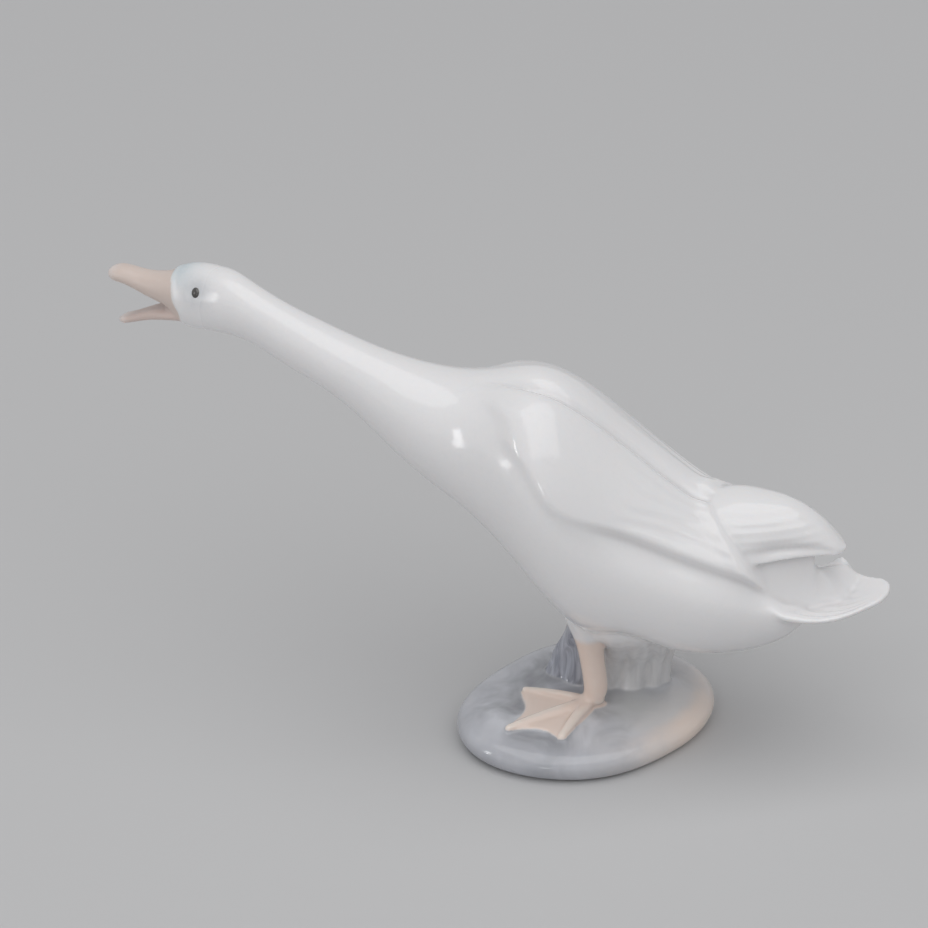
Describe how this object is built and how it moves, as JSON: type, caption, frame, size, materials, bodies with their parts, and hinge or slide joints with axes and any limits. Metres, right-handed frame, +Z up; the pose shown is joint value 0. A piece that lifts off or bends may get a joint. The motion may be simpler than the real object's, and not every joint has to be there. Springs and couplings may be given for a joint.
{
  "type": "goose figurine",
  "caption": "Glazed porcelain goose with an outstretched neck and an open bill, walking on a pebble-shaped base.",
  "frame": {"origin": "middle of the flat underside of the base", "axes": "+X towards the tail, the head is towards -X; -Y is the goose's own left side; +Z up"},
  "size_m": [0.2092, 0.0692, 0.1131],
  "materials": {
    "glazed_porcelain": "gloss"
  },
  "bodies": {
    "root": {"goose_figurine": "glazed_porcelain"}
  },
  "joints": []
}
